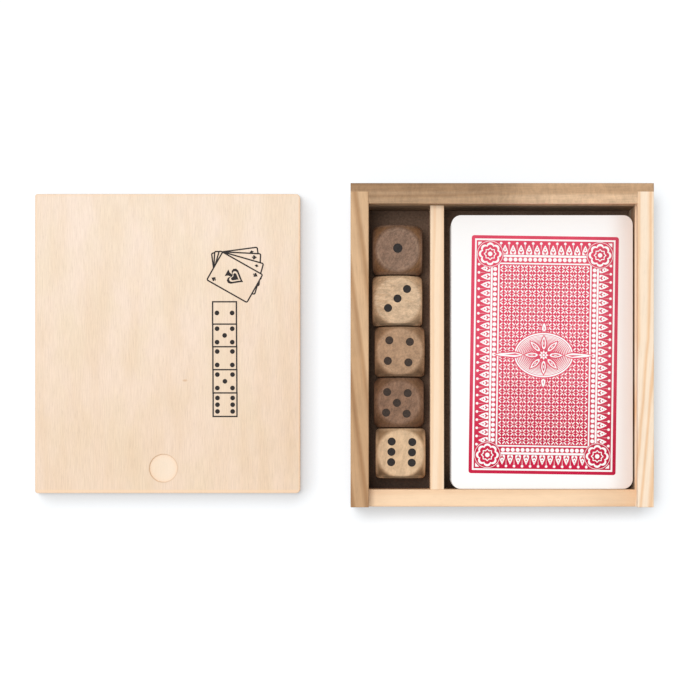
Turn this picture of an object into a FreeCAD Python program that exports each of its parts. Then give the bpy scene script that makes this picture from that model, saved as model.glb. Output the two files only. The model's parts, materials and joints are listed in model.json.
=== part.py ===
"""Playing card and dice box: a glued wooden box with two bays and a sliding lid, five dice and a deck.

Millimetres, with +X to the right, +Y to the rear and +Z up. The origin is the middle of the box's underside.
The lid has been drawn off. It lies face up on the surface that the box stands on, to the left of the box.
"""

import FreeCAD
import Part
import math
import os

Vector = FreeCAD.Vector

# Playing cards, lying back up with a little air between them
card_width = 58.0
card_length = 87.5
card_thickness = 0.29
card_air = 0.01
card_corner_radius = 3.0
card_scatter = 0.12          # how far a card lies out of line with the deck
suits = ("spade", "heart", "club", "diamond")
number_cards = 10            # ace to ten; the last suit's ace lies on top of the deck
court_cards = 3              # jack, queen and king

# Dice: cubes rounded by a sphere, which leaves a round flat on each face
die_size = 16.0
die_rim_round = 0.14         # where a flat meets the sphere, as a share of half a die
pip_radius = 1.3
ace_radius = 1.5             # the single pip of a one is larger
pip_depth = 0.3
dice_gap = 0.33
# The row from front to rear: each die's faces on top, in front and at the right, and its drift from the middle
# of the bay, from -1 at the left wall to 1 at the divider
dice_faces = ((6, 3, 2), (5, 1, 3), (4, 2, 1), (3, 1, 2), (1, 2, 3))
dice_drifts = (0.20, -0.10, 0.04, -0.37, -0.35)
# The dice were tumbled round by hand: the radius of each die's flats and the step between its pips, as shares of
# half its size. The pips of its top face are drilled a little to the right and up, in steps, and turned right
dice_flats = (0.91, 0.83, 0.90, 0.91, 0.845)
dice_pip_steps = (0.4125, 0.4125, 0.4125, 0.38, 0.4125)
dice_pip_rights = (0.11, -0.19, -0.08, 0.02, 0.03)
dice_pip_ups = (0.12, -0.05, 0.0, 0.2, 0.12)
dice_pip_turns = (1.5, 2.9, 4.2, 0.0, 0.0)

# Boards of the box
left_thickness = 5.7
right_thickness = 5.2
front_thickness = 5.5
rear_thickness = 6.4
rear_lap = 2.7               # outer layer of the rear wall, which caps the ends of the side walls
base_thickness = 3.0
base_seat = 2.9              # how far the base reaches under each wall
base_gap = 0.1
divider_thickness = 4.4
edge_round = 0.25

# Room in the bays
dice_side_room = 3.65
dice_front_room = 3.5
dice_rear_room = 4.6
card_side_room = 3.05
card_end_room = 3.2
card_right_gap = 0.55        # the deck lies close to the right wall and the front wall
card_front_gap = 0.1
head_room = 1.3              # from the taller of the deck and the dice up to the lid
resting_gap = 0.02           # under the loose pieces

# Sliding lid and its groove
lid_thickness = 4.0
lid_side_gap = 0.45
lid_height_gap = 0.4
lid_bevel = 0.15
lid_left_radius = 0.8
lid_right_radius = 1.3
groove_depth = 1.2
rear_groove_depth = 2.1
lip_height = 2.6             # wood above the groove
recess_radius = 4.6          # finger recess in the lid's face
recess_depth = 0.8
recess_from_front = 8.15
recess_from_middle = -1.4
lid_apart = 16.9             # from the box's left side to the lid that lies beside it
lid_set_back = 3.85          # from the line of the box's front to the lid's front edge

# Deck
deck_groups = [("lower_joker", 1)]
for suit in suits:
    ace_on_top = 1 if suit == suits[-1] else 0
    deck_groups.append((suit + "_number_cards", number_cards - ace_on_top))
    deck_groups.append((suit + "_court_cards", court_cards))
deck_groups += [("upper_joker", 1), ("top_card", 1)]
card_count = sum(count for name, count in deck_groups)
card_pitch = card_thickness + card_air
deck_height = card_count * card_pitch

# Dice row
die_half = die_size / 2
dice_length = die_size * len(dice_faces) + dice_gap * (len(dice_faces) - 1)

# Box, from the inside out
dice_bay = die_size + dice_side_room
card_bay = card_width + card_side_room
inner_width = dice_bay + divider_thickness + card_bay
inner_length = max(card_length + card_end_room, dice_length + dice_front_room + dice_rear_room)
box_width = left_thickness + inner_width + right_thickness
box_length = front_thickness + inner_length + rear_thickness
groove_floor = base_thickness + resting_gap + max(die_size, deck_height) + head_room
groove_height = lid_thickness + lid_height_gap
box_height = groove_floor + groove_height + lip_height

left_side = -box_width / 2
right_side = box_width / 2
front_side = -box_length / 2
rear_side = box_length / 2
inner_left = left_side + left_thickness
inner_right = right_side - right_thickness
inner_front = front_side + front_thickness
inner_rear = rear_side - rear_thickness
lap_line = rear_side - rear_lap
divider_left = inner_left + dice_bay
divider_right = divider_left + divider_thickness

# Lid
lid_width = inner_width + 2 * (groove_depth - lid_side_gap)
lid_length = inner_rear + rear_groove_depth - lid_side_gap - front_side
lid_right = left_side - lid_apart
lid_left = lid_right - lid_width
lid_front = front_side + lid_set_back
lid_rear = lid_front + lid_length


def block(left, right, front, rear, bottom, top):
    """A square-edged board between six planes."""
    return Part.makeBox(right - left, rear - front, top - bottom, Vector(left, front, bottom))


def plate(left, right, front, rear, bottom, thickness, left_radius, right_radius):
    """A flat plate with round corners, one radius for its left corners and one for its right corners."""
    corners = (
        (left, front, left_radius, 225),
        (right, front, right_radius, 315),
        (right, rear, right_radius, 45),
        (left, rear, left_radius, 135),
    )
    middle_x = (left + right) / 2
    middle_y = (front + rear) / 2
    arcs = []
    for x, y, radius, heading in corners:
        centre_x = x + math.copysign(radius, middle_x - x)
        centre_y = y + math.copysign(radius, middle_y - y)
        points = []
        for angle in (heading - 45, heading, heading + 45):
            turn = math.radians(angle)
            points.append(Vector(centre_x + radius * math.cos(turn), centre_y + radius * math.sin(turn), bottom))
        arcs.append(Part.Arc(*points))
    edges = []
    for index, arc in enumerate(arcs):
        following = arcs[(index + 1) % len(arcs)]
        edges.append(arc.toShape())
        edges.append(Part.LineSegment(arc.EndPoint, following.StartPoint).toShape())
    return Part.Face(Part.Wire(edges)).extrude(Vector(0, 0, thickness))


def eased(board, meetings):
    """Round the edges of a board where two planes meet, each plane given as an axis and a place on it."""
    tiny = 1e-6
    edges = []
    for edge in board.Edges:
        for planes in meetings:
            if all(abs(vertex.Point[axis] - place) < tiny for axis, place in planes for vertex in edge.Vertexes):
                edges.append(edge)
    thinnest = min(rear_lap, lip_height, left_thickness, right_thickness, front_thickness, divider_thickness)
    radius = min(edge_round, thinnest / 3)
    return board.makeFillet(radius, edges)


def base_pocket():
    """The space under the walls that the base panel is glued into."""
    return block(inner_left - base_seat, inner_right + base_seat, inner_front - base_seat,
                 inner_rear + base_seat, 0, base_thickness)


def base_panel():
    """Panel that closes the box from below, flush with the walls' lower edges."""
    reach = base_seat - base_gap
    return block(inner_left - reach, inner_right + reach, inner_front - reach, inner_rear + reach, 0, base_thickness)


def side_wall(outside, inside):
    """Side wall with the lid's groove, which is open at the front and capped by the rear wall."""
    board = block(min(outside, inside), max(outside, inside), front_side, lap_line, 0, box_height)
    outer, inner, front, top = (0, outside), (0, inside), (1, front_side), (2, box_height)
    board = eased(board, ((outer, top), (inner, top), (front, top), (outer, front)))
    depth = math.copysign(groove_depth, outside - inside)
    groove = block(min(inside, inside + depth), max(inside, inside + depth), front_side, lap_line,
                   groove_floor, groove_floor + groove_height)
    return board.cut(groove).cut(base_pocket())


def rear_wall():
    """Rear wall, rebated at both ends so that its outer layer caps the side walls, with the lid's groove."""
    outer = block(left_side, right_side, lap_line, rear_side, 0, box_height)
    inner = block(inner_left, inner_right, inner_rear, lap_line, 0, box_height)
    board = outer.fuse(inner).removeSplitter()
    left, right, rear = (0, left_side), (0, right_side), (1, rear_side)
    bay, top = (1, inner_rear), (2, box_height)
    board = eased(board, ((rear, top), (bay, top), (left, top), (right, top), (left, rear), (right, rear)))
    groove = block(inner_left, inner_right, inner_rear, inner_rear + rear_groove_depth,
                   groove_floor, groove_floor + groove_height)
    return board.cut(groove).cut(base_pocket())


def front_wall():
    """Front wall between the side walls, only as high as the groove's floor, so that the lid passes over it."""
    board = block(inner_left, inner_right, front_side, inner_front, 0, groove_floor)
    front, bay, top = (1, front_side), (1, inner_front), (2, groove_floor)
    return eased(board, ((front, top), (bay, top))).cut(base_pocket())


def divider():
    """Board between the dice bay and the card bay, glued to the base and between the front and rear walls."""
    board = block(divider_left, divider_right, inner_front, inner_rear, base_thickness, groove_floor)
    left, right, top = (0, divider_left), (0, divider_right), (2, groove_floor)
    return eased(board, ((left, top), (right, top)))


def lid_panel():
    """Sliding lid with bevelled edges and a round finger recess near its front edge."""
    board = plate(lid_left, lid_right, lid_front, lid_rear, 0, lid_thickness, lid_left_radius, lid_right_radius)
    level_edges = []
    for edge in board.Edges:
        if abs(edge.BoundBox.ZMax - edge.BoundBox.ZMin) < lid_thickness / 2:
            level_edges.append(edge)
    bevel = min(lid_bevel, lid_thickness / 3, lid_left_radius * 0.9, lid_right_radius * 0.9)
    board = board.makeChamfer(bevel, level_edges)
    recess_x = (lid_left + lid_right) / 2 + recess_from_middle
    recess = Part.makeCylinder(recess_radius, recess_depth,
                               Vector(recess_x, lid_front + recess_from_front, lid_thickness - recess_depth))
    return board.cut(recess)


def pip_places(value):
    """Places of a face's pips, in steps across and up the face."""
    corners = [(-1, -1), (1, 1), (-1, 1), (1, -1)]
    places = corners[:2 * (value // 2)] if value < 6 else corners + [(-1, 0), (1, 0)]
    return places + [(0, 0)] if value % 2 else places


def die(row_place, middle_x, middle_y):
    """One die of the row, resting on the base panel, with shallow round holes for its pips."""
    top, front, right = dice_faces[row_place]
    flat_radius = dice_flats[row_place] * die_half
    pip_step = dice_pip_steps[row_place] * die_half
    sides = (
        (top, Vector(1, 0, 0), Vector(0, 1, 0)),
        (7 - top, Vector(-1, 0, 0), Vector(0, 1, 0)),
        (front, Vector(1, 0, 0), Vector(0, 0, 1)),
        (7 - front, Vector(-1, 0, 0), Vector(0, 0, 1)),
        (right, Vector(0, 1, 0), Vector(0, 0, 1)),
        (7 - right, Vector(0, -1, 0), Vector(0, 0, 1)),
    )
    cube = Part.makeBox(die_size, die_size, die_size, Vector(-die_half, -die_half, -die_half))
    body = cube.common(Part.makeSphere(math.hypot(die_half, flat_radius)))
    rims = []
    for edge in body.Edges:
        if isinstance(edge.Curve, Part.Circle) and math.isclose(edge.Curve.Radius, flat_radius):
            rims.append(edge)
    body = body.makeFillet(die_rim_round * die_half, rims)
    turn = math.radians(dice_pip_turns[row_place])
    holes = []
    for side, (value, across, up) in enumerate(sides):
        outward = across.cross(up)
        radius = ace_radius if value == 1 else pip_radius
        for to_right, to_top in pip_places(value):
            if side == 0:
                to_right, to_top = (to_right * math.cos(turn) + to_top * math.sin(turn) + dice_pip_rights[row_place],
                                    to_top * math.cos(turn) - to_right * math.sin(turn) + dice_pip_ups[row_place])
            spot = across * (to_right * pip_step) + up * (to_top * pip_step)
            holes.append(Part.makeCylinder(radius, pip_depth, spot + outward * (die_half - pip_depth), outward))
    body = body.cut(Part.makeCompound(holes))
    body.translate(Vector(middle_x, middle_y, base_thickness + resting_gap + die_half))
    return body


def dice():
    """The row of dice, each named for the face that it shows."""
    row = {}
    first_y = inner_front + dice_front_room + die_half
    for row_place, faces in enumerate(dice_faces):
        middle_x = (inner_left + divider_left) / 2 + dice_drifts[row_place] * dice_side_room / 2
        middle_y = first_y + row_place * (die_size + dice_gap)
        row["die_showing_" + str(faces[0])] = die(row_place, middle_x, middle_y)
    return row


def deck():
    """The cards in groups, from the lower joker up to the top card, each a little out of line."""
    golden_turn = math.pi * (3 - math.sqrt(5))
    right = inner_right - card_right_gap
    front = inner_front + card_front_gap
    groups = {}
    index = 0
    for name, count in deck_groups:
        cards = []
        for position in range(count):
            shift_x = -card_scatter * (1 + math.cos(index * golden_turn)) / 2
            shift_y = card_scatter * (1 + math.sin(index * golden_turn)) / 2
            bottom = base_thickness + resting_gap + index * card_pitch
            cards.append(plate(right - card_width + shift_x, right + shift_x, front + shift_y,
                               front + card_length + shift_y, bottom, card_thickness,
                               card_corner_radius, card_corner_radius))
            index += 1
        groups[name] = cards[0] if count == 1 else Part.makeCompound(cards)
    return groups


pieces = {
    "base_panel": base_panel(),
    "left_wall": side_wall(left_side, inner_left),
    "right_wall": side_wall(right_side, inner_right),
    "rear_wall": rear_wall(),
    "front_wall": front_wall(),
    "divider": divider(),
    "lid_panel": lid_panel(),
}
pieces.update(dice())
pieces.update(deck())

os.makedirs("parts", exist_ok=True)
for name, shape in pieces.items():
    shape.exportStep("parts/" + name + ".step")

print("box", round(box_width, 2), round(box_length, 2), round(box_height, 2))
print("lid", round(lid_width, 2), round(lid_length, 2), "groove floor at", round(groove_floor, 2))
print("cards", card_count, "deck height", round(deck_height, 2), "dice row", round(dice_length, 2))
print("pieces", len(pieces), "solids", sum(len(shape.Solids) for shape in pieces.values()))
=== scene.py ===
# %% [markdown]
# # A wooden box of playing cards and dice
# The object is a small pine box with a lid that slides off. A narrow bay holds five wooden dice and a wide
# one holds a deck of cards, and the lid lies beside the box with its printed face up. The CAD frame already
# has every board, die and card at its true size, so this lesson dresses them: it gives each board its own
# piece of timber, fills the pips with paint and prints the cards and the lid.

# %% Load the frame
import json
import math

import bmesh
import bpy
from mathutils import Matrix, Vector, geometry

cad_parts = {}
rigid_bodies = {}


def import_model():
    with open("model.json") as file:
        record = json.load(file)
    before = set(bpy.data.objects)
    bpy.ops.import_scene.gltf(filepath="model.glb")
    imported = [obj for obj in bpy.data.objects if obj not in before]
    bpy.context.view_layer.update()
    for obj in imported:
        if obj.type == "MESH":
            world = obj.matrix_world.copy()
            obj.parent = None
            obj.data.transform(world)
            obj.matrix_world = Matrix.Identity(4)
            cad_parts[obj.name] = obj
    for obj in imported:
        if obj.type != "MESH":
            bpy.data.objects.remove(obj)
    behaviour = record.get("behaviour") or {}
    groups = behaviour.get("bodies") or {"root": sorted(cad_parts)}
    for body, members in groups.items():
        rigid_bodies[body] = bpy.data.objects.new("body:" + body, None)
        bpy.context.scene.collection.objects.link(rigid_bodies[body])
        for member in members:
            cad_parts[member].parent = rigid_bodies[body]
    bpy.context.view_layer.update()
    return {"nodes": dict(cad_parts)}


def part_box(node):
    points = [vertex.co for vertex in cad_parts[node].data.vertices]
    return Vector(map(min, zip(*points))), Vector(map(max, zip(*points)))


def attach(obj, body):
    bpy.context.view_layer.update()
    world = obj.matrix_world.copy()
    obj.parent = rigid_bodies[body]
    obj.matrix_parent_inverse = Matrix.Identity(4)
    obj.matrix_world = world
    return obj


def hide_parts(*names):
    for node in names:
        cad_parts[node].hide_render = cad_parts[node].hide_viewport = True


for leftover in list(bpy.data.objects):
    bpy.data.objects.remove(leftover, do_unlink=True)
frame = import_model()
nodes = frame["nodes"]

# %% Putting things into the scene
mm = 0.001


def placed(name, data):
    """An object for some data, linked into the scene."""
    thing = bpy.data.objects.new(name, data)
    bpy.context.scene.collection.objects.link(thing)
    return thing


def built(name, mesh, *materials):
    """An object from a finished bmesh, with its materials."""
    shape = bpy.data.meshes.new(name)
    mesh.to_mesh(shape)
    mesh.free()
    for material in materials:
        shape.materials.append(material)
    return placed(name, shape)


print("one millimetre is", mm, "m")

# %% [markdown]
# ## The camera
# The photograph looks straight down on the table. A long lens from about 70 cm above the box keeps the sides
# nearly parallel, yet still shows a little of the rear wall's inner face. The box isn't in the middle of the
# frame, and tilting the camera would make its walls lean, so the lens is shifted instead, as on a view camera.

# %% Place the camera
wall_top, camera_above = 27.52, 700
camera_place = Vector((-37.1, -28.1, wall_top + camera_above))

eye = bpy.data.cameras.new("overhead_camera")
eye.sensor_width = 36
eye.lens = 113.8
eye.shift_x, eye.shift_y = -0.05, 0.12
camera = placed("overhead_camera", eye)
camera.location = camera_place * mm
bpy.context.scene.camera = camera
print("camera", round(camera.location.z, 3), "m above the table")

# %% [markdown]
# ## Light and background
# Colours are written as a screen shows them, so a small helper turns them into the linear light values that
# Blender mixes. The studio has one soft lamp overhead, a little to the rear and left, and an even sky. Together
# they come to about one, so a colour renders about as it is written.

# %% Colours as a screen shows them
def shade(red, green, blue):
    """A screen colour, 0 to 255, as linear light."""
    def light(value):
        value /= 255
        return value / 12.92 if value <= 0.04045 else ((value + 0.055) / 1.055) ** 2.4
    return light(red), light(green), light(blue), 1.0


bpy.context.scene.view_settings.view_transform = "Standard"
print("mid grey is", round(shade(128, 128, 128)[0], 3), "in light")

# %% The lamp
lamp_aim = Vector((-0.05, 0, 0))

lamp_data = bpy.data.lights.new("soft_lamp", "AREA")
lamp_data.shape = "DISK"
lamp_data.size = 0.55
lamp_data.energy = 9.8
lamp = placed("soft_lamp", lamp_data)
lamp.location = (-0.25, 0.08, 1.42)
lamp.rotation_euler = (lamp_aim - lamp.location).to_track_quat("-Z", "Y").to_euler()
lamp.visible_camera = False
print("lamp", lamp_data.energy, "W,", lamp_data.size, "m across")

# %% The sky
sky_level = 0.54

world = bpy.data.worlds.new("even_sky")
world.use_nodes = True
bpy.context.scene.world = world
sky = world.node_tree
sky.nodes.clear()
seen = sky.nodes.new("ShaderNodeLightPath")
either = sky.nodes.new("ShaderNodeMath")
either.operation = "MAXIMUM"
sky.links.new(seen.outputs["Is Camera Ray"], either.inputs[0])
sky.links.new(seen.outputs["Is Transmission Ray"], either.inputs[1])
level = sky.nodes.new("ShaderNodeMapRange")
level.inputs["To Min"].default_value = sky_level
level.inputs["To Max"].default_value = 1.0
sky.links.new(either.outputs[0], level.inputs["Value"])
glow = sky.nodes.new("ShaderNodeBackground")
glow.inputs["Color"].default_value = (1, 1, 1, 1)
sky.links.new(level.outputs[0], glow.inputs["Strength"])
end = sky.nodes.new("ShaderNodeOutputWorld")
sky.links.new(glow.outputs[0], end.inputs["Surface"])
print("sky level", sky_level)

# %% [markdown]
# ## A workbench for finishes
# Every finish here is mixed from the same few steps: noise for fibres and flecks, sums to place growth rings,
# ramps to turn a number into a colour. A small class keeps those steps to one line each. All of them work in
# millimetres of the object's own space, so a finish moves with its piece and its grain has a real size.

# %% Steps for mixing a finish
class Finish:
    """A material that is put together step by step."""

    def __init__(self, name, roughness=0.6, specular=0.3):
        self.material = bpy.data.materials.new(name)
        self.material.use_nodes = True
        self.tree = self.material.node_tree
        self.surface = self.tree.nodes["Principled BSDF"]
        self.surface.inputs["Roughness"].default_value = roughness
        self.surface.inputs["Specular IOR Level"].default_value = specular
        self.place = self.vector("SCALE", self.add("TexCoord").outputs["Object"], Scale=1000.0)

    def add(self, kind, sockets=None, **settings):
        """A node, with its sockets set or linked."""
        node = self.tree.nodes.new("ShaderNode" + kind)
        for key, value in settings.items():
            setattr(node, key, value)
        for key, value in (sockets or {}).items():
            if isinstance(value, bpy.types.NodeSocket):
                self.tree.links.new(value, node.inputs[key])
            else:
                node.inputs[key].default_value = value
        return node

    def number(self, operation, *values):
        return self.add("Math", dict(enumerate(values)), operation=operation).outputs[0]

    def vector(self, operation, *values, **named):
        node = self.add("VectorMath", {**dict(enumerate(values)), **named}, operation=operation)
        return node.outputs["Value" if operation in ("LENGTH", "DOT_PRODUCT") else "Vector"]

    def axes(self, place=None):
        """The x, y and z of a place."""
        return self.add("SeparateXYZ", {0: self.place if place is None else place}).outputs

    def noise(self, scale, detail=2.0, roughness=0.55, place=None):
        """Soft noise, with so many lumps to a millimetre along each axis."""
        lumps = self.vector("MULTIPLY", self.place if place is None else place, scale)
        node = self.add("TexNoise", {"Vector": lumps, "Scale": 1.0, "Detail": detail, "Roughness": roughness})
        return node.outputs["Fac"]

    def spread(self, value, low, high, to_low=0.0, to_high=1.0):
        """Value from low to high, as a smooth slope between two levels."""
        node = self.add("MapRange", {"Value": value, "From Min": low, "From Max": high,
                                     "To Min": to_low, "To Max": to_high}, interpolation_type="SMOOTHSTEP")
        return node.outputs[0]

    def ramp(self, value, *stops):
        """A number turned into a colour, by stops of a number and a colour."""
        node = self.add("ValToRGB", {"Fac": value})
        marks = node.color_ramp.elements
        while len(marks) < len(stops):
            marks.new(1.0)
        for mark, (at, colour) in zip(marks, stops):
            mark.position, mark.color = at, colour
        return node.outputs["Color"]

    def mix(self, amount, first, second, how="MIX"):
        node = self.add("Mix", {0: amount, 6: first, 7: second}, data_type="RGBA", blend_type=how)
        return node.outputs[2]

    def tint(self, colour, level):
        """Colour made darker or lighter by a number near one."""
        gain = self.add("CombineColor", {0: level, 1: level, 2: level}).outputs[0]
        return self.mix(1.0, colour, gain, "MULTIPLY")

    def done(self, colour, height=None, depth=0.02, rough=None):
        """Joins colour, relief in millimetres and roughness to the surface."""
        self.tree.links.new(colour, self.surface.inputs["Base Color"])
        if rough is not None:
            self.tree.links.new(rough, self.surface.inputs["Roughness"])
        if height is not None:
            bump = self.add("Bump", {"Height": height, "Distance": depth * mm})
            self.tree.links.new(bump.outputs[0], self.surface.inputs["Normal"])
        return self.material


def grey(level):
    """A ramp's colour that stands for a number."""
    return level, level, level, 1.0


def wear(name, material):
    """Puts a finish on a CAD piece."""
    nodes[name].material_slots[0].material = material


print("the workbench is ready")

# %% [markdown]
# ## The table
# The table is white to the camera. It could be lit until it clips, but that would bleach the wood too, so its
# own material adds the missing light for the camera and for reflections only, and the real shadow beside the box
# stays. Near the box and the lid, occlusion that looks toward the lamp dims this added light, which paints a drop
# shadow on their sides away from the lamp. Far from the box the table turns into plain white, so that it has no edge.

# %% The table
table_reach = 4.0
# where the plain white starts and is complete, in millimetres from the box's middle
near_edge, far_edge = 230, 520
# the added light near the box, the share of it left in the shadow, and how far the shadow reaches, in metres
near_level, shadow_level, shadow_reach = 0.66, 0.56, 0.007
away_from_shadow = (-1.0, 0.85, 0.8)

sheet = bpy.data.meshes.new("table_top")
sheet.from_pydata([(-table_reach, -table_reach, 0), (table_reach, -table_reach, 0),
                   (table_reach, table_reach, 0), (-table_reach, table_reach, 0)], [], [(0, 1, 2, 3)])
table = placed("table_top", sheet)

white_table = Finish("white_table")
path = white_table.add("LightPath").outputs
shown = white_table.number("MAXIMUM", white_table.number("MAXIMUM", path["Is Camera Ray"], path["Is Glossy Ray"]),
                           path["Is Transmission Ray"])
far = white_table.spread(white_table.vector("LENGTH", white_table.place), near_edge, far_edge)
matt = white_table.add("BsdfDiffuse", {"Color": shade(176, 176, 176)})
# a painted drop shadow: occlusion looking toward the lamp dims the added light beside the box and the lid
lean = white_table.vector("NORMALIZE", away_from_shadow)
open_sky = white_table.add("AmbientOcclusion", {"Distance": shadow_reach, "Normal": lean}, samples=16)
bare = white_table.spread(open_sky.outputs["AO"], 0.45, 1.0, shadow_level, 1.0)
near_glow = white_table.add("Emission", {"Color": (0.93, 0.965, 1.0, 1.0), "Strength": white_table.number(
    "MULTIPLY", white_table.number("MULTIPLY", shown, bare), near_level)})
far_glow = white_table.add("Emission", {"Strength": shown})
near_top = white_table.add("AddShader", {0: matt.outputs[0], 1: near_glow.outputs[0]})
whole_top = white_table.add("MixShader", {0: far, 1: near_top.outputs[0], 2: far_glow.outputs[0]})
white_table.tree.links.new(whole_top.outputs[0], white_table.tree.nodes["Material Output"].inputs["Surface"])
sheet.materials.append(white_table.material)
print("table", 2 * table_reach, "m across")

# %% [markdown]
# ## Timber
# A board is a slice out of a tree, and its pattern follows from where the slice was cut. So the finish starts
# with the tree: growth rings at some spacing around a pith line that runs somewhere beside the board. Pale wood
# grown in spring turns slowly into dark summer wood in each ring, and then the next begins. The rings wander a
# little, fibres run along the grain, and fine pores show as short dashes. A solid texture like this one gives a
# board's faces, edges and ends their right patterns at once, with no unwrapping.

# %% The finish of a board
def timber(name, spring, summer, grain, pith, ring, wander=0.8, edge=0.72, fibre=0.10, pores=0.10,
           fades=(), saw=0.0, blotch=0.0, pace_change=1.0, fibres=None, sweep=None, roughness=0.62):
    """Wood with its pith line through a point, in millimetres, along the direction of the grain."""
    wood = Finish(name, roughness)

    def turned(way):
        return Vector(way).normalized().rotation_difference(Vector((0, 0, 1))).to_euler()

    from_pith = wood.vector("SUBTRACT", wood.place, pith)
    along = wood.add("Mapping", {"Vector": from_pith, "Rotation": turned(grain)}).outputs[0]
    run = wood.add("Mapping", {"Vector": from_pith, "Rotation": turned(fibres or grain)}).outputs[0]
    across = wood.vector("LENGTH", wood.vector("MULTIPLY", along, (1, 1, 0)))
    drift = wood.noise((0.16, 0.16, 0.018), 3.0, place=along)
    radius = wood.number("MULTIPLY_ADD", wood.number("SUBTRACT", drift, 0.5), 2 * wander, across)
    if sweep:
        start, slope = sweep
        beyond = wood.number("MINIMUM", wood.number("SUBTRACT", wood.axes()[1], start), 0.0)
        radius = wood.number("MULTIPLY_ADD", beyond, slope, radius)
    pace = wood.noise((0.21, 0, 0), 1.0, place=wood.add("CombineXYZ", {0: radius}).outputs[0])
    count = wood.number("MULTIPLY_ADD", pace, pace_change, wood.number("DIVIDE", radius, ring))
    growth = wood.number("FRACT", count)
    late = wood.ramp(growth, (0.0, grey(0.12)), (edge * 0.6, grey(0.2)), (edge, grey(1.0)),
                     (min(edge + 0.1, 0.97), grey(0.85)), (1.0, grey(0.1)))
    colour = wood.mix(late, shade(*spring), shade(*summer))
    strand = wood.noise((2.6, 2.6, 0.12), 3.0, place=run)
    dash = wood.spread(wood.noise((6.5, 6.5, 0.45), 1.0, place=run), 0.60, 0.72)
    level = wood.spread(strand, 0.2, 0.8, 1 - fibre, 1 + fibre)
    level = wood.number("SUBTRACT", level, wood.number("MULTIPLY", dash, pores))
    if blotch:
        patch = wood.noise((0.30, 0.30, 0.11), 3.0, 0.6, run)
        level = wood.number("ADD", level, wood.spread(patch, 0.25, 0.75, -blotch, blotch))
    if saw:
        swirl = wood.add("TexNoise", {"Vector": wood.vector("SCALE", run, Scale=0.25), "Scale": 1.0})
        bent = wood.vector("ADD", run, wood.vector("SCALE", swirl.outputs["Color"], Scale=3.5))
        stroke = wood.noise((0.30, 0.30, 1.1), 4.0, 0.75, bent)
        level = wood.number("ADD", level, wood.spread(stroke, 0.25, 0.75, -saw, saw))
    colour = wood.tint(colour, level)
    for way, low, high, low_tint, high_tint in fades:
        share = wood.spread(wood.vector("DOT_PRODUCT", wood.place, way), low, high)
        colour = wood.mix(1.0, colour, wood.mix(share, (*low_tint, 1), (*high_tint, 1)), "MULTIPLY")
    height = wood.number("SUBTRACT", strand, wood.number("MULTIPLY", dash, 0.6))
    rough = wood.spread(strand, 0.2, 0.8, roughness - 0.07, roughness + 0.08)
    return wood.done(colour, height, 0.025, rough)


print("timber can be cut")

# %% [markdown]
# ## The boards of the box
# The rear and left walls are an older, browner board, and the right and front walls and the divider are pale
# fresh pine with orange streaks. Each board gets a pith line of its own, because neighbours in a real box come
# from different trees. The grain of the side walls runs slightly out of line with their length, so the rings
# leave long diagonal streaks on their top edges, as sawn pine does.

# %% The brown boards
# a fade is a direction, where it starts and ends along it, and the tints at both ends
wear("left_wall", timber(
    "brown_pine_left", (222, 184, 143), (184, 142, 101), (-0.14, 1, 0.01), (-77.0, 0, 24), 4.75, wander=0.7,
    edge=0.74, fibre=0.06, pores=0.07, blotch=0.06, pace_change=0.0, fibres=(-0.07, 1, 0.01),
    fades=(((1, 0.14, 0), -47.5, -44.5, (0.83, 0.78, 0.72), (1.0, 1.0, 1.0)),)))
wear("rear_wall", timber(
    "brown_pine_rear", (223, 188, 152), (197, 160, 123), (1, 0.012, 0), (0, 96, 6), 5.2, wander=0.7, saw=0.12,
    blotch=0.11, fades=(((0, 1, 0), 48.0, 49.2, (1.0, 1.0, 1.0), (0.76, 0.70, 0.63)),
                        ((1, 0, 0), -8, 16, (0.65, 0.61, 0.56), (1.0, 1.0, 1.0)),
                        # the last two fades are painted light and shade: a cool painted shade over the inner face, and
                        # painted light on the face above the lid groove
                        ((0, -1, 0), -45.0, -44.92, (1.0, 1.0, 1.0), (0.66, 0.72, 0.84)),
                        ((0, -1, 0.02), -44.5, -44.38, (1.0, 1.0, 1.0), (1.9, 1.85, 1.7)))))
print("brown boards: left_wall, rear_wall")

# %% The pale boards
wear("right_wall", timber("pale_pine_right", (255, 236, 212), (242, 200, 158), (0.01, 1, 0.01), (86, 0, 18), 2.9,
                          wander=1.5, edge=0.7, fibre=0.035, pores=0.04, blotch=0.02, fibres=(0.05, 1, 0),
                          sweep=(2, 0.085)))
wear("front_wall", timber("pale_pine_front", (254, 221, 184), (246, 208, 169), (1, 0.01, 0), (0, -88, 4), 4.4,
                          wander=0.9, fibre=0.02, pores=0.04, blotch=0.03,
                          fades=(((1, 0, 0), 18, 44, (1.0, 1.0, 1.0), (0.88, 0.845, 0.81)),)))
wear("divider", timber("pale_pine_divider", (255, 230, 200), (249, 213, 175), (0.015, 1, 0), (-70, 0, 2), 3.6,
                       wander=0.9, fibre=0.025, pores=0.03))
print("pale boards: right_wall, front_wall, divider")

# %% [markdown]
# ## The lid and the base
# The lid is a board of a fine, even wood with straight grain, the kind that takes print well. Its rings are
# close and faint. The finger recess near its front edge was bored after the faces were sanded, so its floor shows
# fresh, lighter wood, and one small knot mark sits in the middle of the board. The base is brown fibreboard:
# it has no grain, only matted fibres that lie every way.

# %% The lid board
lid_low, lid_high = [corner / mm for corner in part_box("lid_panel")]
recess_middle, recess_radius = (-109.6, -39.3, 3.2), 4.6
knot_middle = (-102.5, -10.6, 4.0)

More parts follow.
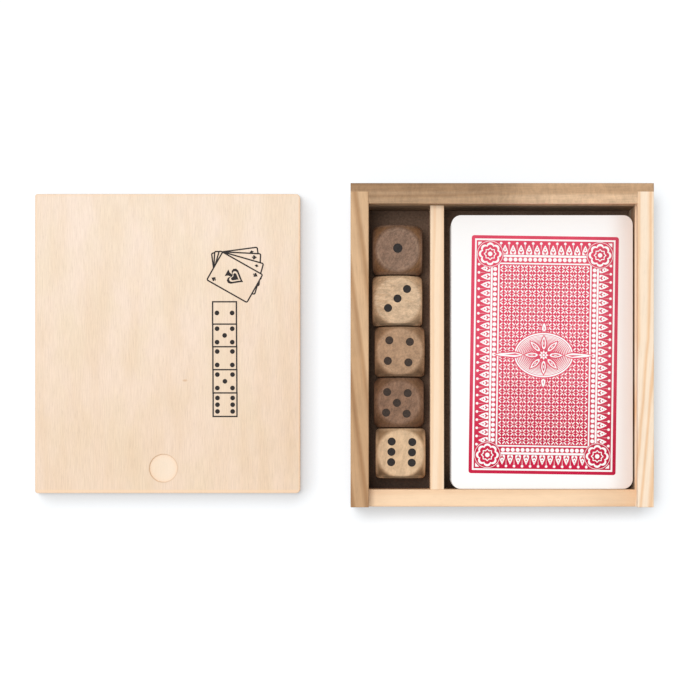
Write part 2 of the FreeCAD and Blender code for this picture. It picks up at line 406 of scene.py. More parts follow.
lid_wood = Finish("lid_wood", 0.6)
fine = lid_wood.noise((3.5, 0.17, 3.5), 3.0, 0.65)
broad = lid_wood.noise((0.17, 0.035, 0.17))
cloud = lid_wood.noise((0.09, 0.05, 0.09), 3.0)
flush = lid_wood.mix(lid_wood.spread(cloud, 0.3, 0.7), shade(250, 229, 204), shade(254, 232, 213))
flush = lid_wood.mix(lid_wood.spread(broad, 0.35, 0.75, 0.0, 0.6), flush, shade(246, 220, 192))
dark_pores = lid_wood.spread(lid_wood.noise((4.6, 0.35, 4.6), 1.0), 0.60, 0.72)
lid_level = lid_wood.spread(fine, 0.25, 0.75, 0.90, 1.05)
lid_level = lid_wood.number("SUBTRACT", lid_level, lid_wood.number("MULTIPLY", dark_pores, 0.07))
flush = lid_wood.tint(flush, lid_level)
lid_axes = lid_wood.axes()
warmth = lid_wood.spread(lid_axes[1], lid_low.y, lid_high.y)
flush = lid_wood.mix(1.0, flush, lid_wood.mix(warmth, (0.945, 0.905, 0.85, 1), (1.0, 1.005, 1.01, 1)), "MULTIPLY")

# the worn rim is widest at the front, where the lid is gripped
rear_rim, front_rim, side_rim, rim_fade, side_fade = 1.0, 1.3, 0.6, 0.4, 0.2
rims = [lid_wood.spread(lid_axes[1], lid_high.y - rear_rim, lid_high.y - rear_rim + rim_fade, 0.0, 0.5),
        lid_wood.spread(lid_axes[1], lid_low.y + front_rim, lid_low.y + front_rim - rim_fade),
        lid_wood.spread(lid_axes[0], lid_low.x + side_rim, lid_low.x + side_rim - side_fade),
        lid_wood.spread(lid_axes[0], lid_high.x - side_rim, lid_high.x - side_rim + side_fade)]
rim = lid_wood.number("MAXIMUM", lid_wood.number("MAXIMUM", *rims[:2]), lid_wood.number("MAXIMUM", *rims[2:]))
flush = lid_wood.mix(lid_wood.number("MULTIPLY", rim, 0.6), flush, shade(255, 219, 183))
# painted light: the lid's right side face is lightened
flush = lid_wood.tint(flush, lid_wood.spread(lid_axes[0], lid_high.x - 0.08, lid_high.x - 0.02, 1.0, 1.35))

from_recess = lid_wood.vector("SUBTRACT", lid_wood.place, recess_middle)
bored = lid_wood.vector("LENGTH", lid_wood.vector("MULTIPLY", from_recess, (1, 1, 0)))
floor = lid_wood.spread(bored, recess_radius - 0.1, recess_radius - 0.3)
# painted shade: a darker ring round the wall of the finger recess
recess_rim_shade = lid_wood.number("MULTIPLY", lid_wood.spread(bored, recess_radius - 0.25, recess_radius),
                       lid_wood.spread(bored, recess_radius + 0.3, recess_radius + 0.05))
fresh = lid_wood.mix(lid_wood.spread(cloud, 0.35, 0.65), shade(252, 228, 200), shade(255, 237, 214))
flush = lid_wood.mix(lid_wood.number("MULTIPLY", floor, 0.65), flush, fresh)
flush = lid_wood.mix(lid_wood.number("MULTIPLY", recess_rim_shade, 0.45), flush, shade(214, 180, 142))
knot_way = lid_wood.vector("MULTIPLY", lid_wood.vector("SUBTRACT", lid_wood.place, knot_middle), (0.8, 1.7, 1))
knot = lid_wood.spread(lid_wood.vector("LENGTH", knot_way), 0.9, 0.2)
flush = lid_wood.mix(lid_wood.number("MULTIPLY", knot, 0.6), flush, shade(214, 172, 128))
wear("lid_panel", lid_wood.done(flush, fine, 0.02, lid_wood.spread(fine, 0.2, 0.8, 0.52, 0.68)))
print("lid board", tuple(round(v, 1) for v in lid_high - lid_low))

# %% The base panel
board = Finish("brown_fibreboard", 0.72, 0.2)
mat = board.noise((1.6, 1.6, 1.6), 5.0, 0.65)
clump = board.noise((0.12, 0.12, 0.12))
brown = board.ramp(mat, (0.25, shade(97, 76, 61)), (0.55, shade(124, 99, 81)), (0.8, shade(141, 114, 94)))
brown = board.tint(brown, board.spread(clump, 0.3, 0.7, 0.92, 1.08))
# less light reaches the panel at its front and rear edges
spot = board.axes()
brown = board.tint(brown, board.spread(spot[1], -46, -36, 0.36, 1.0))
brown = board.tint(brown, board.spread(spot[1], 32, 40, 1.0, 0.82))
wear("base_panel", board.done(brown, mat, 0.03))
print("base panel done")

# %% [markdown]
# ## The dice
# The dice are tumbled hardwood, two dark, one medium, one light and one pale, and each was cut with its grain
# another way. A die is a cube rounded by a ball: the flats are what the ball left. Tumbling polishes the rounded
# part and the rim of each flat, so both have a tone of their own. The ball's colour is also darkened with painted
# shade where it slopes away from the light, and the rim's light ring is partly a painted highlight. The distance
# from the die's middle tells flat, rim and ball apart, so the finish needs no mask. Painted shade darkens the front
# of the rounded part and the upper front edge, on each die by an amount of its own.

# %% The row of dice
die_half = 8.0
# what shows on top, in front and at the right, then the radius of the flats and the step between pips as shares
# of half a die, and how far the top pips are drilled to the right and up, in steps, and turned, in degrees
dice_row = {
    1: ((1, 2, 3), 0.845, 0.4125, 0.03, 0.12, 0.0),
    3: ((3, 1, 2), 0.91, 0.38, 0.02, 0.2, 0.0),
    4: ((4, 2, 1), 0.90, 0.4125, -0.08, 0.0, 4.2),
    5: ((5, 1, 3), 0.83, 0.4125, -0.19, -0.05, 2.9),
    6: ((6, 3, 2), 0.91, 0.4125, 0.11, 0.12, 1.5),
}
dice_middles = {value: sum(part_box(f"die_showing_{value}"), Vector()) / 2 / mm for value in dice_row}
print("dice at", [tuple(round(v, 1) for v in middle) for middle in dice_middles.values()])

# %% The finish of a die
def die_wood(value, face, vein, ball, rim, grain, ring, depth, fleck, burnish_and_highlight_share, front_shade, waver=1.9,
             veined=(0, 0, 0)):
    """Tumbled wood: the flats have veins along the grain, and the ball between them is plain."""
    wood = Finish(f"die_wood_{value}", 0.68, 0.2)
    local = wood.vector("SUBTRACT", wood.place, dice_middles[value])
    turn = Vector(grain).normalized().rotation_difference(Vector((0, 0, 1))).to_euler()
    along = wood.add("Mapping", {"Vector": local, "Rotation": turn, "Location": (21.0, 6.0, 0.0)}).outputs[0]
    across = wood.vector("LENGTH", wood.vector("MULTIPLY", along, (1, 1, 0)))
    drift = wood.noise((0.55, 0.55, 0.22), 3.0, place=along)
    count = wood.number("DIVIDE", wood.number("MULTIPLY_ADD", drift, waver, across), ring)
    growth = wood.number("FRACT", count)
    late = wood.ramp(growth, (0.0, grey(0.0)), (0.5, grey(0.25)), (0.8, grey(1.0)), (1.0, grey(0.0)))
    toward = wood.vector("DOT_PRODUCT", local, veined)
    uneven = wood.noise((0.16, 0.16, 0.16), 1.0, place=local)
    strength = wood.spread(wood.number("MULTIPLY_ADD", toward, 0.05, uneven), 0.35, 0.65, 0.15, depth)
    flat = wood.mix(wood.number("MULTIPLY", late, strength), shade(*face), shade(*vein))
    away = wood.vector("LENGTH", local)
    ball_radius = die_half * math.hypot(1, dice_row[value][1])
    reach = wood.axes(wood.vector("ABSOLUTE", local))
    reach = wood.number("MAXIMUM", wood.number("MAXIMUM", reach[0], reach[1]), reach[2])
    # the ball's colour: its own tumbled tone, and painted shade where it slopes away from the light
    polish_and_shade = wood.spread(reach, die_half + 0.05, die_half - 1.3)
    # the rim's light ring: partly burnished wood, partly a painted highlight
    rim_burnish_and_highlight = wood.number("MULTIPLY", wood.spread(away, ball_radius - 0.55, ball_radius - 0.28),
                      wood.spread(away, ball_radius - 0.06, ball_radius - 0.2))
    broken = wood.spread(wood.noise((0.3, 0.3, 0.3), place=local), 0.4, 0.65, 0.2, 1.0)
    # painted shade on the front of the ball, then on the upper front edge, in millimetres from the die's middle
    spot = wood.axes(local)
    ball_in_painted_shade = wood.tint(shade(*ball), wood.spread(spot[1], -2.5, -7.5, 1.0, front_shade))
    colour = wood.mix(wood.number("MULTIPLY", polish_and_shade, 0.9), flat, ball_in_painted_shade)
    painted_edge_shade = wood.number("MULTIPLY", wood.spread(spot[1], -6.9, -7.6), wood.spread(spot[2], 3.5, 6.5))
    colour = wood.tint(colour, wood.spread(painted_edge_shade, 0.0, 1.0, 1.0, front_shade))
    colour = wood.mix(wood.number("MULTIPLY", wood.number("MULTIPLY", rim_burnish_and_highlight, broken), burnish_and_highlight_share), colour, shade(*rim))
    speck = wood.noise((1.5, 1.5, 0.9), 4.0, 0.8, along)
    patch = wood.spread(wood.noise((0.55, 0.55, 0.3), 3.0, place=along), 0.35, 0.65, -0.11, 0.11)
    level = wood.number("ADD", wood.spread(speck, 0.36, 0.64, 1 - fleck, 1 + fleck), patch)
    hole = wood.spread(wood.noise((2.6, 2.6, 1.6), 1.0, place=along), 0.66, 0.76)
    level = wood.number("SUBTRACT", level, wood.number("MULTIPLY", hole, 0.22))
    return wood.done(wood.tint(colour, level), speck, 0.03, wood.spread(speck, 0.3, 0.7, 0.6, 0.78))


print("finishes for", len(dice_row), "dice")

# %% The five dice
# colours of the flat, its veins, the ball, partly painted shade, and the rim, partly a painted highlight, the way of
# the grain, the width of a ring, how strong veins, flecks and rim show, the level of the painted shade on the front,
# and for one die how its veins waver and gather
dice_finishes = {
    1: ((143, 115, 96), (126, 99, 82), (141, 105, 73), (166, 138, 114), (0.6, 0.8, 0.4), 1.9, 0.6, 0.22, 0.5, 0.8),
    3: ((214, 184, 151), (186, 153, 119), (208, 175, 139), (232, 206, 176), (1, 0.05, 0.12), 0.8, 0.72, 0.15, 0.15,
        0.42, 0.9, (-0.55, 0.2, 0)),
    4: ((178, 144, 114), (162, 128, 99), (152, 120, 91), (194, 162, 132), (0.3, 0.1, 1), 2.4, 0.5, 0.15, 0.2, 0.56),
    5: ((142, 110, 88), (118, 89, 71), (130, 97, 71), (160, 128, 104), (0.5, 1, 0.5), 1.25, 0.7, 0.19, 0.3, 0.8),
    6: ((223, 190, 153), (206, 171, 132), (162, 129, 95), (230, 200, 165), (0.25, 1, 0.15), 1.8, 0.5, 0.07, 0.15, 0.42),
}
for value, looks in dice_finishes.items():
    wear(f"die_showing_{value}", die_wood(value, *looks))
print("dice finished:", sorted(dice_finishes))

# %% [markdown]
# ## The pips
# The pips are shallow round holes with dark paint in them. The holes are cut in the CAD, and the paint could be
# a coloured face, but real paint stands in the hole as a small plug with a dished top, which catches the light at
# its rim. So each die gets one piece of paint plugs, turned as rings around the axis of each hole.

# %% Where the pips are
pip_radius, ace_radius, pip_depth = 1.3, 1.5, 0.30


def pip_places(value):
    """Steps across and up a face for each of its pips."""
    corners = [(-1, -1), (1, 1), (-1, 1), (1, -1)]
    places = corners[:2 * (value // 2)] if value < 6 else corners + [(-1, 0), (1, 0)]
    return places + [(0, 0)] if value % 2 else places


def moved(outline, x=0.0, y=0.0, turn=0.0):
    """Points turned clockwise by so many degrees, then shifted."""
    c, s = math.cos(math.radians(turn)), math.sin(math.radians(turn))
    return [(x + c * px + s * py, y - s * px + c * py) for px, py in outline]


def face_frames(faces):
    """Each face's value with its across and up directions."""
    top, front, right = faces
    x, y, z = Vector((1, 0, 0)), Vector((0, 1, 0)), Vector((0, 0, 1))
    return ((top, x, y), (7 - top, -x, y), (front, x, z), (7 - front, -x, z), (right, y, z), (7 - right, -y, z))


print("pips on a die:", sum(len(pip_places(value)) for value in range(1, 7)))

# %% Paint plugs
def pip_paint(name, dark, light):
    """Dull paint that has dried a little unevenly."""
    paint = Finish(name, 0.65, 0.2)
    blot = paint.noise((2.2, 2.2, 2.2), 3.0)
    return paint.done(paint.ramp(blot, (0.25, shade(*dark)), (0.75, shade(*light))), blot, 0.02)


black_paint = pip_paint("black_pip_paint", (36, 32, 31), (56, 51, 49))
brown_paint = pip_paint("brown_pip_paint", (50, 40, 34), (76, 62, 53))

# the paint's top, as shares of its radius and depths below the flat
dish = [(0.0, 0.18), (0.5, 0.17), (0.85, 0.15), (1.0, 0.11)]
hair_gap = 0.01


def paint_plug(mesh, foot, outward, across, up, radius, sides=28):
    """One closed plug, with its dished top a little below the flat."""
    rings = []
    for share, below in dish[1:] + [(1.0, pip_depth - hair_gap / 2)]:
        ring = []
        for step in range(sides):
            angle = math.tau * step / sides
            way = across * math.cos(angle) + up * math.sin(angle)
            ring.append(mesh.verts.new((foot + way * (share * (radius - hair_gap)) - outward * below) * mm))
        rings.append(ring)
    middle = mesh.verts.new((foot - outward * dish[0][1]) * mm)
    for step in range(sides):
        after = (step + 1) % sides
        mesh.faces.new((middle, rings[0][step], rings[0][after]))
        for inner, outer in zip(rings, rings[1:]):
            mesh.faces.new((inner[step], outer[step], outer[after], inner[after]))
    mesh.faces.new(list(reversed(rings[-1])))


for value, (faces, _, step_share, drilled_right, drilled_up, drilled_turn) in dice_row.items():
    paint = bmesh.new()
    for side, (number, across, up) in enumerate(face_frames(faces)):
        outward = across.cross(up)
        places = pip_places(number)
        if side == 0:
            places = moved(places, drilled_right, drilled_up, drilled_turn)
        for right, high in places:
            foot = dice_middles[value] + outward * die_half + (across * right + up * high) * step_share * die_half
            paint_plug(paint, foot, outward, across, up, ace_radius if number == 1 else pip_radius)
    pips = built(f"pips_of_die_{value}", paint, brown_paint if value in (4, 5) else black_paint)
    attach(pips, f"die_showing_{value}")
    print(pips.name, len(pips.data.polygons), "faces")

# %% [markdown]
# ## Card stock
# A playing card is two sheets of coated paper glued together. In a deck only the edges show, where a guillotine
# cut each card at a slightly different stroke. So the finish gives every card of the stack a faint tone of its
# own, found from its height, and a fine tooth on the coating.

# %% The paper
card_pitch, deck_foot, card_air = 0.30, 3.02, 0.01


def card_stock(name, level):
    """Coated paper, with cards that differ by up to a level."""
    paper = Finish(name, 0.48, 0.3)
    tooth = paper.noise((5.0, 5.0, 5.0), 3.0)
    cloud = paper.noise((0.05, 0.05, 0.05))
    across, _, upright = paper.axes()
    above_foot = paper.number("SUBTRACT", upright, deck_foot - card_air / 2)
    layer = paper.number("FLOOR", paper.number("DIVIDE", above_foot, card_pitch))
    toss = paper.add("TexWhiteNoise", {"W": layer}, noise_dimensions="1D").outputs["Value"]
    white = paper.mix(paper.spread(cloud, 0.3, 0.7), shade(255, 255, 255), shade(255, 254, 253))
    # painted shade: the paper is dimmer beside the right wall
    white = paper.mix(paper.spread(across, 33.0, 42.5), white, shade(236, 224, 217))
    grain = paper.spread(tooth, 0.2, 0.8, 0.985, 1.01)
    tone = paper.number("MULTIPLY", paper.spread(toss, 0.0, 1.0, 1 - level, 1.0), grain)
    return paper.done(paper.tint(white, tone), tooth, 0.004)


edge_paper = card_stock("card_paper_edges", 0.16)
face_paper = card_stock("card_paper", 0.0)
stack = [name for name in nodes if name.endswith("_cards") or name.endswith("_joker")]
for name in stack:
    wear(name, edge_paper)
wear("top_card", face_paper)
print(len(stack), "groups of cards in the stack")

# %% [markdown]
# ## Stamps for printing
# The backs of the cards are printed in red and the lid in black. A print could be a picture wrapped on the
# surface, but a picture blurs close up. Here a print is a list of stamps, each an outline with an ink, pressed one
# over the other. One Delaunay triangulation then cuts the sheet along every outline at once, and each triangle
# takes the ink of the last stamp that covered it. The result is one flat mesh with clean edges between inks.

# %% Outlines to stamp with
def disc(x, y, radius, sides=14):
    """A circle with straight sides."""
    return [(x + radius * math.cos(math.tau * k / sides), y + radius * math.sin(math.tau * k / sides))
            for k in range(sides)]


def oval(wide, tall, sides=56):
    return [(wide * math.cos(math.tau * k / sides), tall * math.sin(math.tau * k / sides)) for k in range(sides)]


def slab(left, right, low, high, corner=0.0, steps=4):
    """A rectangle, with round corners where asked."""
    if not corner:
        return [(left, low), (right, low), (right, high), (left, high)]
    outline = []
    for x, y, start in ((right - corner, high - corner, 0), (left + corner, high - corner, 90),
                        (left + corner, low + corner, 180), (right - corner, low + corner, 270)):
        for k in range(steps + 1):
            angle = math.radians(start + 90 * k / steps)
            outline.append((x + corner * math.cos(angle), y + corner * math.sin(angle)))
    return outline


def leaf(start, length, width, belly=0.45):
    """A pointed leaf that lies along +Y from a start."""
    side = [(0.0, 0.0), (0.36, 0.16), (0.5, belly), (0.3, 0.78), (0.0, 1.0)]
    right = [(width * x, start + length * y) for x, y in side]
    return right + [(-x, y) for x, y in reversed(right[1:-1])]


def star(points, outer, inner, turn=0.0):
    """A star with its first point along +Y."""
    outline = []
    for k in range(2 * points):
        angle = math.radians(turn) + math.pi * k / points
        radius = inner if k % 2 else outer
        outline.append((radius * math.sin(angle), radius * math.cos(angle)))
    return outline


print("a leaf has", len(leaf(0, 1, 1)), "points")

# %% Pressing the stamps
def press(stamps):
    """The points, triangles and inks of a sheet after all its stamps."""
    points, outlines = [], []
    for ink, outline in stamps:
        swept = sum(a[0] * b[1] - a[1] * b[0] for a, b in zip(outline, outline[1:] + outline[:1]))
        outlines.append(list(range(len(points), len(points) + len(outline))))
        points.extend(Vector(point) for point in (outline if swept > 0 else reversed(outline)))
    spots, _, triangles, _, _, covers = geometry.delaunay_2d_cdt(points, [], outlines, 1, 1e-5)
    inks = [stamps[max(cover)][0] for cover in covers]
    return spots, triangles, inks


proof = press([("paper", slab(-2, 2, -2, 2)), ("red", disc(0, 0, 1)), ("paper", disc(0, 0, 0.5))])
print("a proof print has", len(proof[1]), "triangles")

# %% [markdown]
# ## The back of a card
# The back is an old kind of pattern, the same either way up so that a card doesn't give itself away. From the
# outside in it has a plain line, a row of pointed leaves with dots between their tips, a string of beads and a
# field of small eight-leaved flowers. A rosette closes each corner, and an oval with a flower sits in the middle.
# All of it is drawn here with stamps, in millimetres, from the middle of the print.

# %% The frame of the back
card_wide, card_long, card_corner = 58.0, 87.5, 3.0
print_wide, print_tall = 23.55, 38.11

back = []
for inset_x, inset_y, ink in ((0, 0, "red"), (1.08, 1.05, "paper"), (1.62, 1.60, "red"), (6.27, 6.16, "paper"),
                              (6.87, 6.85, "red"), (8.57, 8.68, "paper"), (9.05, 9.15, "red")):
    wide, tall = print_wide - inset_x, print_tall - inset_y
    back.append((ink, slab(-wide, wide, -tall, tall, 0.8 if inset_x == 0 else 0.0)))
print("frame lines:", len(back))

# %% The flowers of the field
flower_columns, flower_rows, flower_step = 12, 22, 2.62
# start, end and half width of a flower's leaves
diagonal_leaf, upright_leaf = (0.37, 1.50, 0.215), (0.62, 1.10, 0.15)
for row in range(flower_rows):
    for column in range(flower_columns):
        x = (column - (flower_columns - 1) / 2) * flower_step
        y = (row - (flower_rows - 1) / 2) * flower_step
        full = 0.82 + 0.18 * row / (flower_rows - 1)
        for k in range(8):
            way = 45.0 * k
            sideways = math.sin(math.radians(way))
            if (column == 0 and sideways < 0.1) or (column == flower_columns - 1 and sideways > -0.1):
                continue
            start, end, wide = diagonal_leaf if k % 2 else upright_leaf
            wide *= full
            right = [(wide * 0.5, start), (wide, start + 0.16), (wide, end - 0.22), (wide * 0.55, end)]
            back.append(("paper", moved(right + [(-px, py) for px, py in reversed(right)], x, y, way)))
print("stamps with the field:", len(back))

# %% Leaves, dots and beads round the field
leaf_side = [(0.86, 0.2), (1.06, 0.45), (1.08, 0.8), (0.97, 1.35), (0.74, 1.95), (0.43, 2.55), (0.2, 2.95), (0.0, 3.3)]
sprig_side = [(0.15, 0.1), (0.16, 0.55), (0.66, 1.02), (0.52, 1.42), (0.0, 1.0)]


def paired(side):
    """An outline from its right half, which ends on the middle line."""
    return side + [(-x, y) for x, y in reversed(side[:-1])]


def border(count, pitch, reach, turn, foot, beads, bead_pitch, bead_inset, full, stem):
    """One side of the frame, which lies reach from the middle, with leaves at a foot inside it and beads."""
    def stamp(ink, outline):
        back.append((ink, moved(outline, turn=turn)))

    for k in range(count):
        x = (k - (count - 1) / 2) * pitch
        for ink, side in (("paper", leaf_side), ("red", sprig_side)):
            stamp(ink, [(x + full * px, reach - foot + py) for px, py in paired(side)])
        stamp("red", disc(x, reach - foot + 1.85, 0.24, 8))
        stamp("red", disc(x, reach - foot + 2.45, 0.13, 6))
    for k in range(count + 1):
        x = (k - count / 2) * pitch
        stamp("paper", disc(x, reach - 2.45, 0.43, 12))
        stamp("paper", [(x - stem, reach - 2.95), (x, reach - 5.1), (x + stem, reach - 2.95)])
    for k in range(beads):
        stamp("paper", disc((k - (beads - 1) / 2) * bead_pitch, reach - bead_inset, 0.65, 12))


for half_turn, full in ((0, 0.92), (180, 0.86)):
    border(count=11, pitch=2.57, reach=print_tall, turn=half_turn, foot=6.2, beads=17, bead_pitch=1.58,
           bead_inset=7.65, full=full, stem=0.09)
    border(count=22, pitch=2.62, reach=print_wide, turn=half_turn + 90, foot=6.3, beads=35, bead_pitch=1.609,
           bead_inset=7.62, full=0.97, stem=0.05)
print("stamps with the border:", len(back))

# %% Rosettes in the corners
def scallop(valley, lobe):
    """A ring of eight round lobes."""
    outline = []
    for k in range(96):
        angle = math.tau * k / 96
        radius = valley + (lobe - valley) * abs(math.cos(4 * angle)) ** 0.7
        outline.append((radius * math.sin(angle), radius * math.cos(angle)))
    return outline


def rosette(x, y):
    """A flower in a ring, from the outside in."""
    for ink, outline in (("red", disc(0, 0, 4.35, 40)), ("paper", disc(0, 0, 4.18, 40)), ("red", disc(0, 0, 4.04, 40)),
                         ("paper", scallop(2.95, 3.66)), ("red", scallop(2.4, 2.95)), ("paper", star(8, 2.05, 1.6)),
                         ("red", star(8, 1.7, 1.25)), ("paper", disc(0, 0, 0.72))):
        back.append((ink, moved(outline, x, y)))


for across in (-1, 1):
    for along in (-1, 1):
        rosette(across * (print_wide - 5.96), along * (print_tall - 5.93))
        tip_x, tip_y = across * (print_wide - 2.1), along * (print_tall - 2.1)
        back.append(("paper", [(tip_x, tip_y), (tip_x - across * 1.3, tip_y), (tip_x, tip_y - along * 1.3)]))
print("stamps with the rosettes:", len(back))

# %% The oval in the middle
oval_wide, oval_tall, ring_inset = 9.75, 7.45, 0.75
for ink, inset in (("red", 0.0), ("paper", 0.35), ("red", 0.82)):
    back.append((ink, oval(oval_wide - inset, oval_tall - inset)))
for k in range(12):
    share = 0.965 - 0.062 * k
    thin = 0.31 - 0.025 * k
    wide, tall = share * (oval_wide - ring_inset), share * (oval_tall - ring_inset)
    back += [("paper", oval(wide, tall)), ("red", oval(wide - thin, tall - thin))]
for k in range(8):
    for ink, start, reach, width in (("red", 1.2, 5.4, 2.3), ("paper", 1.7, 4.4, 1.5), ("red", 2.4, 2.9, 0.8),
                                     ("paper", 3.2, 1.2, 0.3)):
        back.append((ink, moved(leaf(start, reach, width, 0.5), turn=45.0 * k)))
back += [("red", disc(0, 0, 1.9, 24)), ("paper", star(8, 1.6, 0.95)), ("red", star(8, 0.95, 0.5, 22.5)),
         ("paper", disc(0, 0, 0.4, 10))]
for k in range(4):
    start, reach, width, belly = (7.5, 2.8, 1.5, 0.22) if k % 2 == 0 else (6.7, 8.9, 1.5, 0.3)
    back.append(("red", moved(leaf(start - 0.3, reach + 0.8, width + 0.8, belly), turn=90.0 * k)))
    back.append(("paper", moved(leaf(start, reach, width, belly), turn=90.0 * k)))
    slit = [(-0.1, start + 0.8), (0.45, start + 2.3), (-0.1, start + 6.0)]
    if k % 2 == 0:
        slit = [(-0.1, start + 0.5), (0.22, start + 0.9), (-0.1, start + 2.0)]
    back.append(("red", moved(slit, turn=90.0 * k)))
print("stamps on a back:", len(back))

# %% [markdown]
# ## The faces under the backs
# A face shows only when its card is lifted or turned over. The top card is the ace of diamonds, with one large
# diamond in the middle and a small one at two corners, and the joker under the deck carries a plain star. The
# marks alone tell the cards apart.

# %% Stamps for the faces
def diamond_mark(x, y, size):
    """A diamond with hollow sides, so tall from its middle to its tip."""
    side = [(0.0, 1.0), (0.2, 0.62), (0.46, 0.24), (0.74, 0.0)]
    quarter = side + [(px, -py) for px, py in reversed(side[:-1])]
    return [(x + size * px, y + size * py) for px, py in quarter + [(-px, py) for px, py in reversed(quarter[1:-1])]]


ace_face = [("red", diamond_mark(0, 0, 7.5)), ("red", diamond_mark(-23, 36, 2.6)), ("red", diamond_mark(23, -36, 2.6))]
joker_face = [("red", star(5, 11, 4.4)), ("paper", star(5, 6, 2.4)), ("red", moved(star(5, 2.6, 1.1), -22.5, 36.5)),
              ("red", moved(star(5, 2.6, 1.1, 180), 22.5, -36.5))]
print("ace stamps:", len(ace_face), "joker stamps:", len(joker_face))

# %% [markdown]
# ## Printing the cards
# The red ink is painted lighter towards the rear of the card and darker beside the right wall, as painted light
# and shade, and it is slightly uneven, as offset ink is. The print sits a little askew, since a sheet is never cut
# quite in line with it. A printed card is one closed mesh: the back map above, the face map below, and a strip of edge
# between them. Both maps share the card's outline, so their edge points meet exactly. The top card shows both sides
# when it is lifted, the upper joker then shows its back, and the lower joker its face. These three stand for their
# CAD cards.

# %% The red ink
red_ink = Finish("red_card_ink", 0.5, 0.08)
lie = red_ink.axes()
# painted light and shade: the ink is lighter towards the rear of the card and darker beside the right wall
ink_with_painted_light = red_ink.mix(red_ink.spread(lie[1], -42, 4), shade(203, 25, 67), shade(226, 75, 102))
ink_with_painted_light = red_ink.tint(ink_with_painted_light, red_ink.spread(lie[0], 24, 40, 1.0, 0.81))
patch = red_ink.noise((0.35, 0.35, 0.35), 4.0)
grit = red_ink.noise((5.0, 5.0, 5.0))
ink_with_painted_light = red_ink.tint(ink_with_painted_light, red_ink.spread(patch, 0.25, 0.75, 0.94, 1.06))
red_ink_material = red_ink.done(red_ink.tint(ink_with_painted_light, red_ink.spread(grit, 0.2, 0.8, 0.97, 1.04)), grit, 0.003)
print("red ink mixed")

# %% Building a printed card
def printed_card(node, above, below, print_shift=(0.51, -1.02), print_turn=0.82):
    """A closed card with printed sides, in the place of its CAD card."""
    low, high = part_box(node)
    outline = slab(-card_wide / 2, card_wide / 2, -card_long / 2, card_long / 2, card_corner, 8)
    middle = (low + high) / 2 / mm
    inks = ("paper", "red")
    mesh = bmesh.new()
    rims = []
    for stamps, height, upward in ((above, high.z, True), (below, low.z, False)):
        laid = [("paper", outline)] + [(ink, moved(shape, *print_shift, print_turn)) for ink, shape in stamps]
        spots, triangles, colours = press(laid)
        corners = [mesh.verts.new(((middle.x + spot.x) * mm, (middle.y + spot.y) * mm, height)) for spot in spots]
        for triangle, ink in zip(triangles, colours):
            order = triangle if upward else list(reversed(triangle))
            mesh.faces.new([corners[k] for k in order]).material_index = inks.index(ink)
        rims.append({(round(spot.x, 3), round(spot.y, 3)): corner for spot, corner in zip(spots, corners)})
    for here, after in zip(outline, outline[1:] + outline[:1]):
        a, b = [(round(point[0], 3), round(point[1], 3)) for point in (here, after)]
        mesh.faces.new((rims[0][b], rims[0][a], rims[1][a], rims[1][b])).material_index = 0
    bmesh.ops.recalc_face_normals(mesh, faces=mesh.faces)
    return built("printed_" + node, mesh, face_paper, red_ink_material)


for node, body, above, below in (("top_card", "top_card", back, ace_face), ("upper_joker", "deck", back, []),
                                 ("lower_joker", "deck", [], joker_face)):
    card = printed_card(node, above, below)
    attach(card, body)
    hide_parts(node)
    print(card.name, len(card.data.polygons), "faces")

# %% [markdown]
# ## The print on the lid
# The lid carries a small line drawing in black: a fan of four cards with a spade on the front one, and under it a
# column of five dice faces. Screen print lies on the wood as a thin skin, so it is a mesh of its own, two
# hundredths of a millimetre proud. The same stamps make it: each card is a black shape with a bare one a line's
# width smaller on top, so the cards in front hide those behind without any clipping.

# %% Marks for the lid
spade_side = [(0.0, 0.56), (0.10, 0.40), (0.28, 0.18), (0.44, -0.02), (0.47, -0.18), (0.38, -0.31), (0.22, -0.33),
              (0.07, -0.22), (0.10, -0.38), (0.22, -0.54)]


def spade_mark(size, stem=True):
    """A spade that points along +Y, whole or without its stem."""
    right = [(size * x, size * y) for x, y in (spade_side if stem else spade_side[:8])]
    return right + [(-x, y) for x, y in reversed(right[1:])]


line_width = 0.46
lid_stamps = []


def lined(left, right, low, high, corner=0.0, place=(0.0, 0.0, 0.0)):
    """A black line round a bare rectangle, put at a place."""
    for ink, line in (("black", 0.0), ("bare", line_width)):
        inside = slab(left + line, right - line, low + line, high - line, max(corner - line, 0.0))
        lid_stamps.append((ink, moved(inside, *place)))


print("spade points:", len(spade_mark(1.0)))

# %% The fan of cards
fan_wide, fan_long = 10.9, 15.5
fan_pivot = (-90.3, 31.7)
front_turn = 29.5
small_diamond, small_spade = diamond_mark(0, 0, 0.75), spade_mark(1.5)
# how far each card is turned and slipped, and its corner mark
for turn, slip, mark in ((-7.5, -3.8, small_diamond), (3.0, -2.7, small_spade), (16.0, -1.2, small_diamond),
                         (front_turn, 0.0, small_spade)):
    lined(slip, slip + fan_long, -fan_wide, 0.0, 0.7, (*fan_pivot, turn))
    corner = moved([(slip + fan_long - 2.2, -1.5)], *fan_pivot, turn)[0]
    lid_stamps.append(("black", moved(mark, *corner, turn + 90)))
card_middle = moved([(fan_long / 2, -fan_wide / 2)], *fan_pivot, front_turn)[0]
for ink, spade in (("black", spade_mark(5.7)), ("bare", spade_mark(4.0, False)), ("black", spade_mark(2.7, False))):
    lid_stamps.append((ink, moved(spade, *card_middle, front_turn + 90)))
far_corner = moved([(2.0, -fan_wide + 1.6)], *fan_pivot, front_turn)[0]
lid_stamps.append(("black", moved(small_spade, *far_corner, front_turn - 90)))
print("stamps in the fan:", len(lid_stamps))

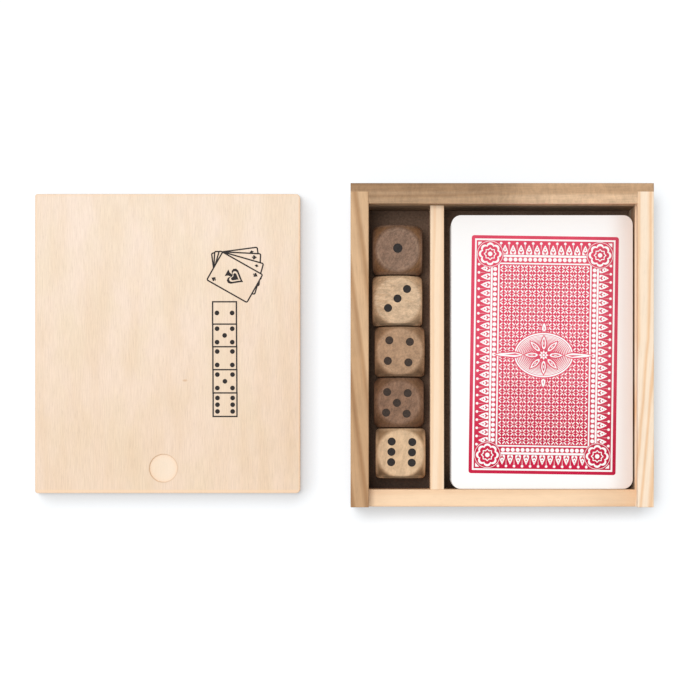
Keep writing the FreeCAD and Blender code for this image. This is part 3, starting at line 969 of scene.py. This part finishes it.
# %% The column of dice
column_left, column_right, column_top, cell_tall, cell_more = -93.70, -85.45, 15.13, 7.3, 0.1
pip_across, pip_up = 2.48, 2.2
for row, value in enumerate((2, 5, 4, 5, 6)):
    high = column_top - row * cell_tall - cell_more * row * (row - 1) / 2
    low = high - cell_tall - cell_more * row
    slip = 0.045 * row
    lined(column_left + slip, column_right + slip, low - line_width / 2, high + line_width / 2)
    places = [(-1, 0), (1, 0)] if value == 2 else pip_places(value)
    for across, up in places:
        x = (column_left + column_right) / 2 + slip + across * pip_across
        lid_stamps.append(("black", disc(x, (low + high) / 2 + up * pip_up, 0.78, 18)))
print("stamps on the lid:", len(lid_stamps))

# %% Printing the lid
lid_ink = Finish("black_lid_ink", 0.6, 0.25)
thin_spots = lid_ink.noise((3.0, 0.8, 3.0), 4.0, 0.7)
ink_black = lid_ink.ramp(thin_spots, (0.3, shade(26, 21, 21)), (0.62, shade(42, 35, 33)), (0.8, shade(90, 76, 67)))
lid_ink_material = lid_ink.done(ink_black, thin_spots, 0.006)

lid_top, skin, bite = lid_high.z, 0.02, 0.01
sheet_edge = slab(lid_low.x, lid_high.x, lid_low.y, lid_high.y)
spots, triangles, inks = press([("bare", sheet_edge)] + lid_stamps)
inked = [triangle for triangle, ink in zip(triangles, inks) if ink == "black"]
mesh = bmesh.new()
tops, feet = {}, {}
for k in sorted({k for triangle in inked for k in triangle}):
    tops[k] = mesh.verts.new((spots[k].x * mm, spots[k].y * mm, (lid_top + skin) * mm))
    feet[k] = mesh.verts.new((spots[k].x * mm, spots[k].y * mm, (lid_top - bite) * mm))
edges = set()
for triangle in inked:
    mesh.faces.new([tops[k] for k in triangle])
    mesh.faces.new([feet[k] for k in reversed(triangle)])
    edges.update(zip(triangle, triangle[1:] + triangle[:1]))
for a, b in sorted(edge for edge in edges if edge[::-1] not in edges):
    mesh.faces.new((tops[b], tops[a], feet[a], feet[b]))
bmesh.ops.recalc_face_normals(mesh, faces=mesh.faces)
lid_print = built("lid_print", mesh, lid_ink_material)
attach(lid_print, "lid")
print(lid_print.name, len(lid_print.data.polygons), "faces")
